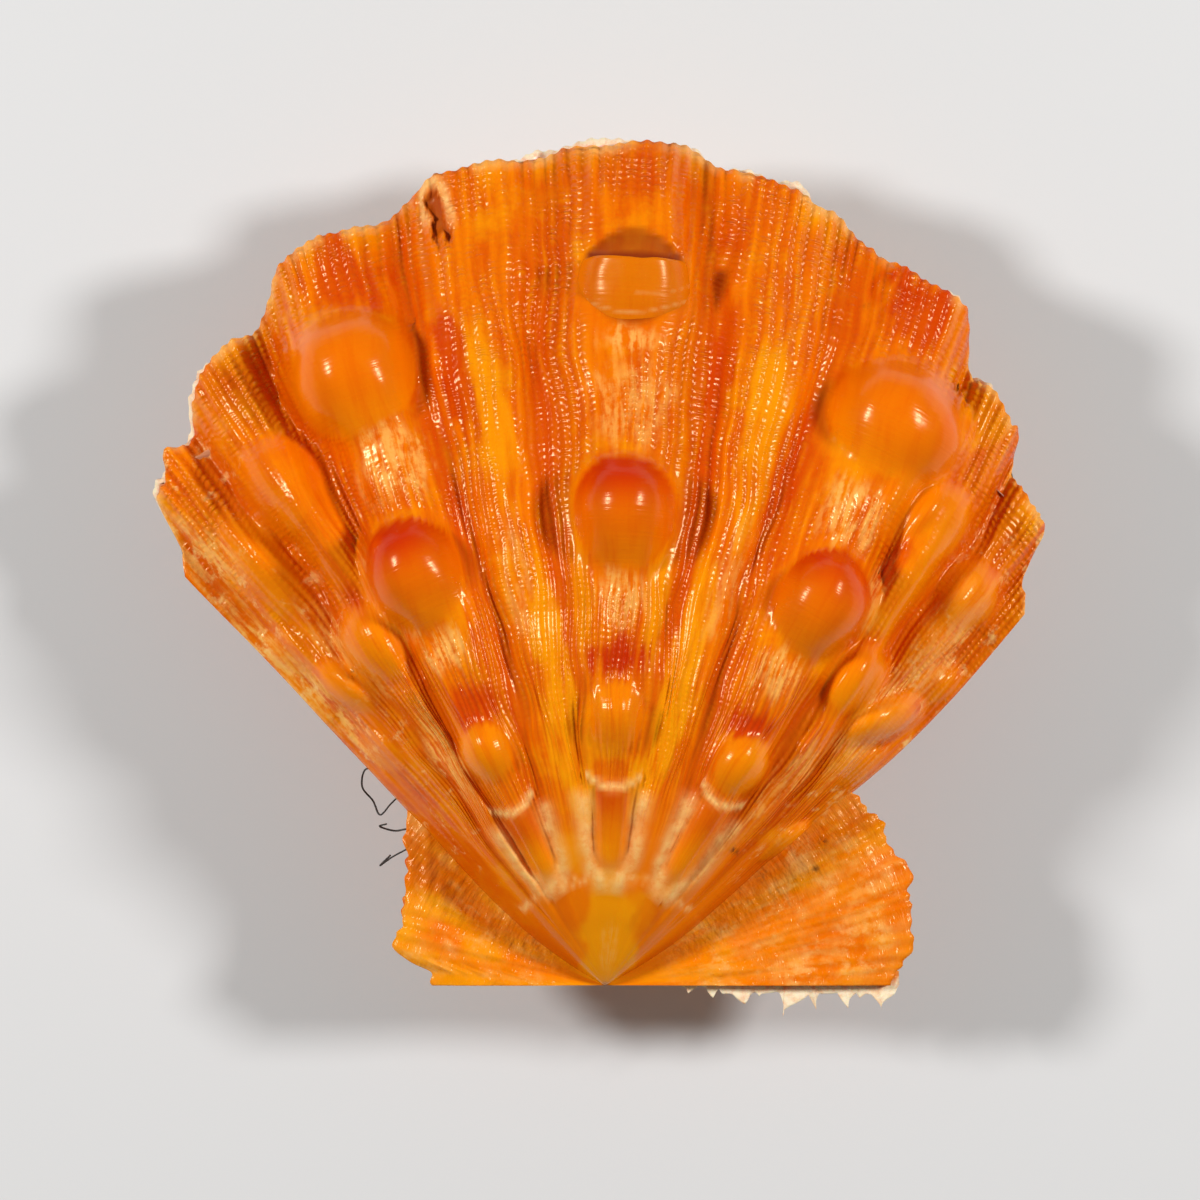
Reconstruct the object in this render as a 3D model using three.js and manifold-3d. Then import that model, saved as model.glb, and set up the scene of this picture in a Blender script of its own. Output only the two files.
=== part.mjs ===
// Lions paw scallop: a closed pair of valves, lying on its lower valve.
// Millimetres, +Z up. +X points to the larger ears and +Y from the hinge to the fan's edge.
import * as THREE from 'three';
import { mergeVertices } from 'three/addons/utils/BufferGeometryUtils.js';
import Module from 'manifold-3d';

const wasm = await Module();
wasm.setup();

// Where the pair sits: both beaks meet the hinge line here, at the height of the meeting line.
const BEAK = { x: 0.22, y: -46.9 };
const MEETING_HEIGHT = 16.6;

// Walls. The valves keep this gap from each other all round, and are thicker towards the beak.
const VALVE_GAP = 0.3;
const EDGE_THICKNESS = 0.8;
const WALL = 2.2;
const BEAK_WALL_SHARE = 0.8;
const HOLLOW_RUN_OUT = 9;
const EAR_THICKNESS = 1.5;

// Domes. Crown is the power that sets how near the beak the dome is highest: smaller is nearer.
const UPPER_DOME = { height: 16.0, crown: 0.8 };
const LOWER_DOME = { height: 15.2, crown: 0.97 };
const FLANK_POWER = 2.6;
const FLANK_SOFTNESS = 0.85;

// Ribs. They count from 0 at the smaller ears to 8 at the larger ears, and -1 and 9 are the folds
// that part the fan from its ears. Height is at the fan's edge. Shoulder is half a rib's width.
const RIB_HEIGHT = 3.3;
const RIB_GROWTH = 0.9;
const UPPER_SHOULDER = 0.35;
const LOWER_SHOULDER = 0.16;
const SHOULDER_SLOPE = 0.09;
const EDGE_NOTCH = 0.7;
const EDGE_STEP = { from: 0.3, to: 0.7, power: 4 };
const MEETING_FLAT_TO = 0.6;
const WIDE_LOWER_RIBS_TO = 0.7;
const FLANK_WIDTH = 0.45;
const FIRST_FOLD = -1;
const LAST_FOLD = 9;
const RIB_COUNT = 9;

// Each line runs from the beak to the fan's edge. Its angle from +Y is given at the beak, at one
// third, at two thirds and at the edge, then its length, then how high the rib is beside the rest.
const LINES = [
  { angles: [-62.0, -49.8, -45.9, -45.6], reach: 68.2, height: 0 },
  { angles: [-43.0, -41.3, -40.6, -40.7], reach: 75.0, height: 0.7 },
  { angles: [-37.0, -34.6, -32.6, -31.8], reach: 83.8, height: 0.95 },
  { angles: [-27.4, -25.9, -23.5, -20.8], reach: 91.0, height: 1.15 },
  { angles: [-13.4, -12.6, -11.1, -9.5], reach: 94.6, height: 0.8 },
  { angles: [2.3, 2.3, 2.3, 2.3], reach: 96.2, height: 1.15 },
  { angles: [17.6, 16.6, 14.3, 12.4], reach: 93.2, height: 0.8 },
  { angles: [32.2, 30.6, 28.1, 24.8], reach: 88.4, height: 1.15 },
  { angles: [43.5, 41.0, 37.5, 33.9], reach: 80.2, height: 0.95 },
  { angles: [51.0, 48.0, 44.5, 41.4], reach: 72.9, height: 0.7 },
  { angles: [63.0, 53.6, 51.6, 48.5], reach: 64.4, height: 0 },
];

// Ears, as angle and reach from the hinge line inwards. The last corners lie under the fan.
const SMALL_EAR = [
  [-90, 19.7], [-85, 20.2], [-81, 23.8], [-76, 24.3], [-71, 24.8],
  [-66, 25.2], [-61, 26.2], [-56, 27.4], [-51, 29.2], [-47, 31.0], [-40, 30.0],
];
const LARGE_EAR = [
  [90, 32.2], [85, 34.6], [80, 35.3], [74, 35.9], [69, 37.0],
  [65, 36.2], [61, 36.4], [57, 35.9], [53, 35.6], [46, 34.0],
];
// The lower valve's larger ear is cut back beside the fan, where the byssus comes out.
const NOTCHED_EAR = [
  [90, 32.4], [85, 34.2], [80, 34.9], [74, 35.2], [69, 34.6],
  [66, 31.0], [63, 26.0], [60, 25.0], [56, 27.0], [50, 29.0],
];
const EAR_FOLD = 0.35;
const EAR_GAP = 0.4;
const EAR_BEAK_THICKNESS = 0.5;

// Knobs: the rib that each one sits on, its distance from the beak, then its width, length and
// height above the rib.
const KNOBS = [
  { rib: 4.0, reach: 31.3, width: 6.2, length: 6.6, height: 2.0 },
  { rib: 4.0, reach: 53.8, width: 11.0, length: 12.2, height: 4.6 },
  { rib: 2.0, reach: 30.2, width: 6.0, length: 6.2, height: 2.0 },
  { rib: 2.0, reach: 51.5, width: 10.7, length: 11.9, height: 4.6 },
  { rib: 2.0, reach: 74.6, width: 13.6, length: 13.2, height: 5.0 },
  { rib: 6.0, reach: 29.9, width: 6.0, length: 6.2, height: 2.0 },
  { rib: 6.0, reach: 50.0, width: 10.4, length: 11.6, height: 4.6 },
  { rib: 6.0, reach: 71.8, width: 14.0, length: 12.6, height: 5.0 },
  { rib: 1.0, reach: 47.1, width: 5.4, length: 8.4, height: 2.0 },
  { rib: 1.0, reach: 68.4, width: 9.0, length: 12.6, height: 2.8 },
  { rib: 0.0, reach: 43.9, width: 5.4, length: 6.4, height: 1.7 },
  { rib: 0.1, reach: 59.4, width: 5.2, length: 9.0, height: 1.7 },
  { rib: 7.0, reach: 45.0, width: 4.6, length: 8.4, height: 1.9 },
  { rib: 7.0, reach: 63.5, width: 8.2, length: 12.0, height: 2.8 },
  { rib: 8.0, reach: 43.5, width: 5.6, length: 9.6, height: 2.3 },
  { rib: 8.0, reach: 60.7, width: 6.8, length: 8.2, height: 2.2 },
  { rib: 8.42, reach: 26.8, width: 3.6, length: 5.4, height: 1.0 },
];
const KNOB_ROOT = 0.55;
const KNOB_LEAN = 7;

// The broken knob on the middle rib: a vaulted roof with a straight free edge, and a pit beyond it.
const HOOD = { rib: 4.0, reach: 81.9, width: 12.2, length: 16.6, height: 3.2, depth: 1.2 };
const HOOD_PIT = { rib: 4.01, reach: 82.1, width: 9.8, length: 7.0, height: 2.2, depth: 1.3 };
const HOOD_EDGE = { rib: 4.0, reach: 82.3 };

// The worn chip on the shoulder of the rib beside it, close to the fan's edge.
const CHIP = { rib: 2.79, reach: 89.2, width: 2.4, length: 8.0, height: 1.5, depth: 1.2 };

// Spines on the hinge edge of the lower valve's larger ear: distance from the beak and length.
const SPINES = [
  [11.6, 0.9], [14.6, 1.4], [17.6, 1.0], [19.8, 2.4],
  [22.8, 1.7], [26.2, 2.0], [28.8, 1.1], [31.0, 2.2],
];
const SPINE_RADIUS = 0.75;
const SPINE_DIP = 1.0;
const SPINE_TILT = 8;

const FLOOR_BLOCK = { size: 200, depth: 20 };

// Where the faces of the bodies meet: shares of the way from the beak, and steps across a rib.
const FAN_ROWS = [0, 0.03, 0.07, 0.13, 0.2, 0.29, 0.38, 0.48, 0.58, 0.68, 0.78, 0.87, 0.94, 1];
const CAVITY_ROWS = [0, 0.08, 0.2, 0.38, 0.58, 0.76, 0.87, 0.92];
const EAR_ROWS = [0, 0.5, 1];
const FAN_STEPS = [-0.5, -0.4, -0.27, -0.12, 0.12, 0.27, 0.4];
const FLANK_STEPS = [0, 0.15, 0.32];
const CAVITY_STEPS = [-0.5, 0];
const CAVITY_SIDES = [0.25, 0.3];
const LARGE_KNOB = { width: 8, segments: 14 };
const SMALL_KNOB = { segments: 8 };

function radians(degrees) {
  return (degrees * Math.PI) / 180;
}

function mix(a, b, share) {
  return a + (b - a) * share;
}

function smoothStep(low, high, value) {
  const share = Math.min(1, Math.max(0, (value - low) / (high - low)));
  return share * share * (3 - 2 * share);
}

// A smooth curve through evenly spaced values.
function curve(values, place) {
  const index = Math.min(values.length - 2, Math.max(0, Math.floor(place)));
  const a = values[index];
  const b = values[index + 1];
  const before = index > 0 ? values[index - 1] : 2 * a - b;
  const after = index + 2 < values.length ? values[index + 2] : 2 * b - a;
  const f = place - index;
  const bend = 2 * before - 5 * a + 4 * b - after + f * (3 * (a - b) + after - before);
  return a + 0.5 * f * (b - before + f * bend);
}

// rib is the place across the fan and t the share of the way from the beak to the fan's edge.
function angleAt(rib, t) {
  return curve(LINES.map((line) => curve(line.angles, 3 * t)), rib - FIRST_FOLD);
}

function ribWave(rib, shoulder) {
  const offset = Math.abs(rib - Math.round(rib));
  return 1 - smoothStep(shoulder - SHOULDER_SLOPE, shoulder + SHOULDER_SLOPE, offset);
}

function reachAt(rib, t) {
  const reaches = LINES.map((line) => line.reach);
  const place = rib - FIRST_FOLD;
  const index = Math.min(reaches.length - 2, Math.max(0, Math.floor(place)));
  const step = smoothStep(EDGE_STEP.from, EDGE_STEP.to, place - index);
  const stepped = mix(reaches[index], reaches[index + 1], step);
  const notch = EDGE_NOTCH * (1 - ribWave(rib, UPPER_SHOULDER)) * flankFade(rib);
  return mix(curve(reaches, place), stepped - notch, t ** EDGE_STEP.power);
}

function planPoint(rib, t) {
  const angle = radians(angleAt(rib, t));
  const distance = t * reachAt(rib, t);
  return { x: BEAK.x + distance * Math.sin(angle), y: BEAK.y + distance * Math.cos(angle) };
}

// Nothing at the folds, whole on the ribs.
function flankFade(rib) {
  return smoothStep(0, FLANK_WIDTH, Math.min(rib - FIRST_FOLD, LAST_FOLD - rib));
}

function domeHeight(dome, rib, t) {
  const first = angleAt(FIRST_FOLD, t);
  const last = angleAt(LAST_FOLD, t);
  const across = (2 * angleAt(rib, t) - first - last) / (last - first);
  const flank = Math.max(0, 1 - Math.abs(across) ** FLANK_POWER) ** FLANK_SOFTNESS;
  return dome.height * Math.sin(Math.PI * t ** dome.crown) * flank;
}

function ribHeight(rib, t, shoulder) {
  const line = LINES[Math.round(rib) - FIRST_FOLD];
  const wave = ribWave(rib, shoulder) * line.height - 0.5;
  return RIB_HEIGHT * t ** RIB_GROWTH * wave * flankFade(rib);
}

// Both valves follow this surface at the fan's edge, so that their ribs interlock.
function meetingSurface(rib, t) {
  return MEETING_HEIGHT + ribHeight(rib, 1, UPPER_SHOULDER) * smoothStep(MEETING_FLAT_TO, 1, t);
}

function upperSurface(rib, t) {
  const base = MEETING_HEIGHT + VALVE_GAP / 2 + EDGE_THICKNESS;
  return base + domeHeight(UPPER_DOME, rib, t) + ribHeight(rib, t, UPPER_SHOULDER);
}

function lowerSurface(rib, t) {
  const shoulder = mix(LOWER_SHOULDER, UPPER_SHOULDER, smoothStep(WIDE_LOWER_RIBS_TO, 1, t));
  const base = MEETING_HEIGHT - VALVE_GAP / 2 - EDGE_THICKNESS;
  return base - domeHeight(LOWER_DOME, rib, t) + ribHeight(rib, t, shoulder);
}

// The place t on a rib whose distance from the beak is the one given.
function shareAt(rib, distance) {
  let t = distance / reachAt(rib, 1);
  for (let pass = 0; pass < 4; pass += 1) {
    t = distance / reachAt(rib, t);
  }
  return t;
}

function toManifold(geometry) {
  geometry.deleteAttribute('normal');
  geometry.deleteAttribute('uv');
  const merged = mergeVertices(geometry, 1e-5);
  const vertProperties = new Float32Array(merged.attributes.position.array);
  const triVerts = new Uint32Array(merged.index.array);
  return new wasm.Manifold(new wasm.Mesh({ numProp: 3, vertProperties, triVerts }));
}

// A closed body between a top and a bottom surface over a fan of columns that meet at the beak.
// top and bottom take a column and a row and give a point.
function fanSolid(columns, rows, top, bottom) {
  const points = [];
  const triangles = [];
  const ids = { top: [], bottom: [] };
  for (const [side, surface] of [['top', top], ['bottom', bottom]]) {
    const pole = points.push(surface(columns[0], 0)) - 1;
    ids[side] = columns.map((column) => rows.map((row, index) => (
      index === 0 ? pole : points.push(surface(column, row)) - 1
    )));
  }
  function quad(a, b, c, d) {
    if (a !== b && b !== c && a !== c) triangles.push(a, b, c);
    if (a !== c && c !== d && a !== d) triangles.push(a, c, d);
  }
  const lastColumn = columns.length - 1;
  const lastRow = rows.length - 1;
  for (let i = 0; i < lastColumn; i += 1) {
    for (let j = 0; j < lastRow; j += 1) {
      quad(ids.top[i][j], ids.top[i + 1][j], ids.top[i + 1][j + 1], ids.top[i][j + 1]);
      quad(ids.bottom[i][j], ids.bottom[i][j + 1], ids.bottom[i + 1][j + 1], ids.bottom[i + 1][j]);
    }
    quad(ids.top[i][lastRow], ids.top[i + 1][lastRow], ids.bottom[i + 1][lastRow], ids.bottom[i][lastRow]);
  }
  for (let j = 0; j < lastRow; j += 1) {
    quad(ids.top[0][j], ids.top[0][j + 1], ids.bottom[0][j + 1], ids.bottom[0][j]);
    quad(ids.bottom[lastColumn][j], ids.bottom[lastColumn][j + 1],
      ids.top[lastColumn][j + 1], ids.top[lastColumn][j]);
  }
  const geometry = new THREE.BufferGeometry();
  geometry.setAttribute('position', new THREE.Float32BufferAttribute(points.flat(), 3));
  geometry.setIndex(triangles);
  return toManifold(geometry);
}

// The columns of a fan: the same steps across every rib, between columns of its flanks.
function ribColumns(before, steps, after) {
  const columns = [...before];
  for (let rib = 0; rib < RIB_COUNT; rib += 1) {
    columns.push(...steps.map((step) => rib + step));
  }
  return [...columns, LAST_FOLD - 0.5, ...after];
}

// A fan's point at the height that a surface gives.
function fanPoint(surface, shift = 0) {
  return (rib, t) => {
    const { x, y } = planPoint(rib, t);
    return [x, y, surface(rib, t) + shift];
  };
}

// The hollow of a valve. It keeps the wall from the outer surface and runs out past the meeting line.
function cavity(surface, side) {
  const [before, after] = CAVITY_SIDES;
  const columns = ribColumns([FIRST_FOLD + before], CAVITY_STEPS, [LAST_FOLD - after]);
  const inner = (rib, t) => surface(rib, t) - side * WALL * (1 + BEAK_WALL_SHARE * (1 - t) ** 2);
  const open = () => MEETING_HEIGHT - side * HOLLOW_RUN_OUT;
  const [top, bottom] = side > 0 ? [inner, open] : [open, inner];
  return fanSolid(columns, CAVITY_ROWS, fanPoint(top), fanPoint(bottom));
}

function earPoint(height) {
  return ([angle, reach], t) => {
    const x = BEAK.x + t * reach * Math.sin(radians(angle));
    const y = BEAK.y + t * reach * Math.cos(radians(angle));
    return [x, y, height(angle, t)];
  };
}

// An ear is a thin plate with shallow folds that fan out from the beak.
function ear(outline, side) {
  const columns = outline[0][0] > 0 ? [...outline].reverse() : outline;
  const near = MEETING_HEIGHT + (side * EAR_GAP) / 2;
  const inner = earPoint(() => near);
  const outer = earPoint((angle, t) => {
    const fold = columns.findIndex((corner) => corner[0] === angle) % 2;
    const grown = THREE.MathUtils.lerp(EAR_BEAK_THICKNESS, EAR_THICKNESS, Math.min(1, 2 * t));
    return near + side * (grown + (fold ? EAR_FOLD : 0) * t);
  });
  const [top, bottom] = side > 0 ? [outer, inner] : [inner, outer];
  return fanSolid(columns, EAR_ROWS, top, bottom);
}

// A round lump that lies along its rib. It stands above the valve's outer surface by its height
// and reaches below it by its depth.
function lump({ rib, reach, width, length, height, depth }, lean) {
  const t = shareAt(rib, reach);
  const { x, y } = planPoint(rib, t);
  const { segments } = width > LARGE_KNOB.width ? LARGE_KNOB : SMALL_KNOB;
  const geometry = new THREE.SphereGeometry(1, segments, segments / 2);
  geometry.rotateX(Math.PI / 2);
  geometry.scale(width / 2, length / 2, height);
  const place = geometry.attributes.position;
  for (let i = 0; i < place.count; i += 1) {
    const z = place.getZ(i);
    place.setZ(i, z > 0 ? z : (z * depth) / height);
  }
  geometry.rotateX(radians(lean));
  geometry.rotateZ(-radians(angleAt(rib, t)));
  geometry.translate(x, y, upperSurface(rib, t));
  return toManifold(geometry);
}

function knob(size) {
  return lump({ ...size, depth: size.height * KNOB_ROOT }, KNOB_LEAN);
}

// The roof of the broken knob ends in a straight edge across the rib.
function brokenRoof() {
  const { rib, reach } = HOOD_EDGE;
  const t = shareAt(rib, reach);
  const { x, y } = planPoint(rib, t);
  const cut = new THREE.BoxGeometry(2 * HOOD.width, HOOD.length, 4 * HOOD.height);
  cut.translate(0, HOOD.length / 2, 0);
  cut.rotateZ(-radians(angleAt(rib, t)));
  cut.translate(x, y, upperSurface(rib, t));
  return lump(HOOD, 0).subtract(toManifold(cut));
}

function brokenPit() {
  return lump(HOOD_PIT, 0);
}

function chip() {
  return lump(CHIP, 0);
}

function spine([distance, length]) {
  const geometry = new THREE.ConeGeometry(SPINE_RADIUS, length + SPINE_RADIUS * 2, 6);
  geometry.rotateX(Math.PI + radians(SPINE_TILT));
  const y = BEAK.y - length / 2 + SPINE_RADIUS;
  geometry.translate(BEAK.x + distance, y, MEETING_HEIGHT - VALVE_GAP / 2 - SPINE_DIP);
  return toManifold(geometry);
}

// What lies below the floor is taken off, which leaves the small flat spot that the pair rests on.
function floorBlock() {
  const geometry = new THREE.BoxGeometry(FLOOR_BLOCK.size, FLOOR_BLOCK.size, FLOOR_BLOCK.depth);
  geometry.translate(0, 0, -FLOOR_BLOCK.depth / 2);
  return toManifold(geometry);
}

function fanColumns() {
  const before = FLANK_STEPS.map((step) => FIRST_FOLD + step);
  const after = FLANK_STEPS.map((step) => LAST_FOLD - step).reverse();
  return ribColumns(before, FAN_STEPS, after);
}

function upperValve() {
  const fan = fanSolid(fanColumns(), FAN_ROWS,
    fanPoint(upperSurface), fanPoint(meetingSurface, VALVE_GAP / 2));
  let valve = fan.add(ear(SMALL_EAR, 1)).add(ear(LARGE_EAR, 1));
  for (const size of KNOBS) {
    valve = valve.add(knob(size));
  }
  valve = valve.add(brokenRoof()).subtract(brokenPit()).subtract(chip());
  return valve.subtract(cavity(upperSurface, 1));
}

function lowerValve() {
  const fan = fanSolid(fanColumns(), FAN_ROWS,
    fanPoint(meetingSurface, -VALVE_GAP / 2), fanPoint(lowerSurface));
  let valve = fan.add(ear(SMALL_EAR, -1)).add(ear(NOTCHED_EAR, -1));
  for (const place of SPINES) {
    valve = valve.add(spine(place));
  }
  return valve.subtract(cavity(lowerSurface, -1)).subtract(floorBlock());
}

const upperMaterial = new THREE.MeshStandardMaterial({ color: 0xe0701a, roughness: 0.3, metalness: 0 });
const lowerMaterial = new THREE.MeshStandardMaterial({ color: 0xe08a4a, roughness: 0.35, metalness: 0 });

function namedMesh(name, manifold, material) {
  const solid = manifold.getMesh();
  const geometry = new THREE.BufferGeometry();
  geometry.setAttribute('position', new THREE.Float32BufferAttribute(solid.vertProperties, 3));
  geometry.setIndex([...solid.triVerts]);
  geometry.computeVertexNormals();
  const mesh = new THREE.Mesh(geometry, material);
  mesh.name = name;
  return mesh;
}

const shell = new THREE.Group();
shell.name = 'lions_paw_scallop';
shell.add(namedMesh('upper_valve', upperValve(), upperMaterial));
shell.add(namedMesh('lower_valve', lowerValve(), lowerMaterial));

export default shell;
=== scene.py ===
import math

import bmesh
import bpy
import numpy as np
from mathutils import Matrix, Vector


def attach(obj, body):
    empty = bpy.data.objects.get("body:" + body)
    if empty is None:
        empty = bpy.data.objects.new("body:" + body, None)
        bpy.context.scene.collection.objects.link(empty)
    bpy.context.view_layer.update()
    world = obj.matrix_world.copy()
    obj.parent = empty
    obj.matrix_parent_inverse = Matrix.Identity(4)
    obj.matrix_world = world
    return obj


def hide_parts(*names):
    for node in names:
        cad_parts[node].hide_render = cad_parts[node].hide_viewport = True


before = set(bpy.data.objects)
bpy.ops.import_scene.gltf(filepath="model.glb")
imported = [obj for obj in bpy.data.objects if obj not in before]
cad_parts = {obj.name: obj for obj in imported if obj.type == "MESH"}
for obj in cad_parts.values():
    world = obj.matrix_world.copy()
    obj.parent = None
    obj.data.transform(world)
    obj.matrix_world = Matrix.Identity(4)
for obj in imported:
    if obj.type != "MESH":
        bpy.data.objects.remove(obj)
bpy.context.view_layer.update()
print("frame loaded:", sorted(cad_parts))

# Shape numbers are in millimetres and degrees, as on the CAD part, and go to metres at the very end.
mm = 0.001

valves = {
    "beak": (0.22, -46.9),
    "meetingHeight": 16.6,
    "gap": 0.3,
    "edgeThickness": 0.8,
    "wall": 2.2,
    "edgeSkin": 0.25,
    "leastSkin": 0.9,
    "upperDome": (16.0, 0.8),      # height, crown
    "lowerDome": (15.2, 0.97),
    "flankPower": 2.6,
    "flankSoftness": 0.85,
    "ribHeight": 3.3,
    "ribGrowth": 0.9,
    "upperShoulder": 0.35,
    "lowerShoulder": 0.16,
    "shoulderSlope": 0.19,
    "flankWidth": 0.8,
    "edgeNotch": 0.7,
    "ribCrown": 0.45,              # how far a rib's back is rounded
    "ribletCount": 104,
    "ribletHeight": 0.0020,        # share of the distance from the beak
    "ribsBeginAt": (0.10, 0.22),
}

# Angle at the beak, at one third, at two thirds and at the edge, then reach and rib height.
# Ribs count from 0, and -1 and 9 are the folds at the ears.
ribLines = np.array([
    (-62, -50.4, -46.7, -45.8, 68.2, 0),
    (-43, -41.3, -40.6, -40.7, 75, 0.7),
    (-37, -34.6, -32.6, -31.8, 83.8, 0.95),
    (-27.4, -25.9, -23.5, -20.8, 91, 1.15),
    (-13.4, -12.6, -11.1, -9.5, 94.6, 0.8),
    (2.3, 2.3, 2.3, 2.3, 96.2, 1.15),
    (17.6, 16.6, 14.3, 12.4, 93.2, 0.8),
    (32.2, 30.6, 28.1, 24.8, 88.4, 1.15),
    (43.5, 41, 37.5, 33.9, 80.2, 0.95),
    (51, 48, 44.5, 41.4, 72.9, 0.7),
    (63, 53.6, 51.6, 48.5, 64.4, 0),
])
firstFold, lastFold = -1, 9


# From 0 at low to 1 at high, soft at both ends.
def ease(low, high, value):
    share = np.clip((value - low) / (high - low), 0, 1)
    return share * share * (3 - 2 * share)


def mix(a, b, share):
    return a + (b - a) * share


def bell(offset, width):
    return np.exp(-(offset / width) ** 2)


# From 0 in each furrow to 1 on each ridge, one ridge for every whole number.
def ridgeWave(phase):
    return 0.5 - 0.5 * np.cos(2 * math.pi * phase)


def higherOf(a, b, softness):
    touch = np.maximum(softness - np.abs(a - b), 0) / softness
    return np.maximum(a, b) + touch * touch * softness / 4


def smoothCurve(values, place):
    values = np.asarray(values, float)
    place = np.asarray(place, float)
    count = len(values)
    index = np.clip(np.floor(place).astype(int), 0, count - 2)
    own = np.arange(place.size)

    def at(i):
        return values[i] if values.ndim == 1 else values[i, own]

    a, b = at(index), at(index + 1)
    before = np.where(index > 0, at(np.maximum(index - 1, 0)), 2 * a - b)
    after = np.where(index + 2 < count, at(np.minimum(index + 2, count - 1)), 2 * b - a)
    f = place - index
    return a + 0.5 * f * (b - before + f * (2 * before - 5 * a + 4 * b - after
                                            + f * (3 * (a - b) + after - before)))


# A smooth random field between -1 and 1, the same on every run.
def wander(x, y, seed, size=64):
    lattice = np.random.default_rng(seed).uniform(-1, 1, (size, size))
    x0, y0 = np.floor(x).astype(int), np.floor(y).astype(int)
    fx, fy = x - x0, y - y0
    fx, fy = fx * fx * (3 - 2 * fx), fy * fy * (3 - 2 * fy)
    a, b = lattice[x0 % size, y0 % size], lattice[(x0 + 1) % size, y0 % size]
    c, d = lattice[x0 % size, (y0 + 1) % size], lattice[(x0 + 1) % size, (y0 + 1) % size]
    return mix(mix(a, b, fx), mix(c, d, fx), fy)


def angleAt(rib, t):
    atShare = np.array([smoothCurve(line[:4], 3 * t) for line in ribLines])
    return smoothCurve(atShare, rib - firstFold)


# Furrows wind between the ribs: rib before the furrow, then its place between the two ribs at
# every step out from the beak.
furrowStep = 7.5
furrowPlaces = {
    0: (0.5, 0.5, 0.5, 0.5, 0.5, 0.68, 0.40, 0.52, 0.70, 0.56, 0.48, 0.50, 0.5, 0.5),
    1: (0.5, 0.5, 0.5, 0.5, 0.5, 0.50, 0.50, 0.36, 0.58, 0.50, 0.31, 0.40, 0.5, 0.5),
    2: (0.5, 0.5, 0.5, 0.56, 0.63, 0.72, 0.77, 0.68, 0.60, 0.54, 0.5, 0.5, 0.5, 0.5),
    3: (0.5, 0.5, 0.5, 0.47, 0.43, 0.40, 0.37, 0.36, 0.37, 0.38, 0.40, 0.42, 0.45, 0.46),
    4: (0.5, 0.5, 0.5, 0.54, 0.58, 0.63, 0.67, 0.70, 0.70, 0.68, 0.66, 0.60, 0.48, 0.40),
    5: (0.5, 0.5, 0.5, 0.42, 0.34, 0.26, 0.23, 0.30, 0.39, 0.46, 0.5, 0.5, 0.5, 0.5),
    6: (0.5, 0.5, 0.5, 0.5, 0.5, 0.52, 0.65, 0.62, 0.42, 0.50, 0.58, 0.55, 0.5, 0.5),
    7: (0.5, 0.5, 0.5, 0.5, 0.4, 0.28, 0.32, 0.30, 0.30, 0.52, 0.50, 0.5, 0.5, 0.5),
}


def besideFurrows(rib, t):
    warped = rib.copy()
    out = t * reachAt(rib, t) / furrowStep
    for before, places in furrowPlaces.items():
        here = (rib > before) & (rib < before + 1)
        f = rib - before
        middle = np.clip(smoothCurve(places, out), 0.2, 0.8)
        moved = np.where(f < middle, 0.5 * f / middle, 0.5 + 0.5 * (f - middle) / (1 - middle))
        warped = np.where(here, before + moved, warped)
    return warped


# Everything on the fan sways a little from side to side on its way out.
def swayed(angle, reach, t):
    fade = ease(14, 32, reach) * ease(0.98, 0.85, t)
    fade = fade * ease(1.0, 0.86, np.abs(angle - 2) / 48)
    sideways = 0.6 * wander(angle * 0.2, reach * 0.11, 61) + 0.3 * wander(angle * 0.5, reach * 0.21, 62)
    return angle + np.degrees(fade * sideways / np.maximum(reach, 5))


def ribWave(rib, shoulder):
    slope = valves["shoulderSlope"]
    return 1 - ease(shoulder - slope, shoulder + slope, np.abs(rib - np.round(rib)))


def flankFade(rib):
    return ease(0, valves["flankWidth"], np.minimum(rib - firstFold, lastFold - rib))


def reachAt(rib, t):
    reaches = ribLines[:, 4]
    place = rib - firstFold
    index = np.clip(np.floor(place).astype(int), 0, len(reaches) - 2)
    stepped = mix(reaches[index], reaches[index + 1], ease(0.3, 0.7, place - index))
    notch = valves["edgeNotch"] * (1 - ribWave(rib, valves["upperShoulder"])) * flankFade(rib)
    return mix(smoothCurve(reaches, place), stepped - notch, t ** 4)


def domeHeight(dome, rib, t):
    height, crown = dome
    first, last = angleAt(np.full_like(t, firstFold), t), angleAt(np.full_like(t, lastFold), t)
    across = (2 * angleAt(rib, t) - first - last) / (last - first)
    flank = np.maximum(0, 1 - np.abs(across) ** valves["flankPower"])
    return height * np.sin(math.pi * t ** crown) * flank ** valves["flankSoftness"]


def ribHeight(rib, t, shoulder):
    rib = besideFurrows(rib, t)
    nearest = np.round(rib).astype(int)
    own = ribLines[nearest - firstFold, 5]
    wave = ribWave(rib, shoulder) * own - 0.5
    offset = np.abs(rib - nearest) / np.maximum(shoulder, 0.1)
    crown = valves["ribCrown"] * t * own * np.maximum(0, 1 - offset ** 2)
    begun = mix(0.15, 1.0, ease(*valves["ribsBeginAt"], t))
    return begun * (valves["ribHeight"] * t ** valves["ribGrowth"] * wave * flankFade(rib) + crown)


def meetingSurface(rib, t):
    rise = ribHeight(rib, np.ones_like(t), valves["upperShoulder"])
    return valves["meetingHeight"] + rise * ease(0.6, 1, t)


def innerSurface(dome, rib, t, side):
    hollow = domeHeight(dome, rib, t) - valves["wall"] - 0.5 * valves["ribHeight"] * t
    return valves["meetingHeight"] + side * hollow


def upperSurface(rib, t):
    base = valves["meetingHeight"] + valves["gap"] / 2 + valves["edgeThickness"]
    dome = domeHeight(valves["upperDome"], rib, t)
    return base + dome + ribHeight(rib, t, valves["upperShoulder"])


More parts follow.
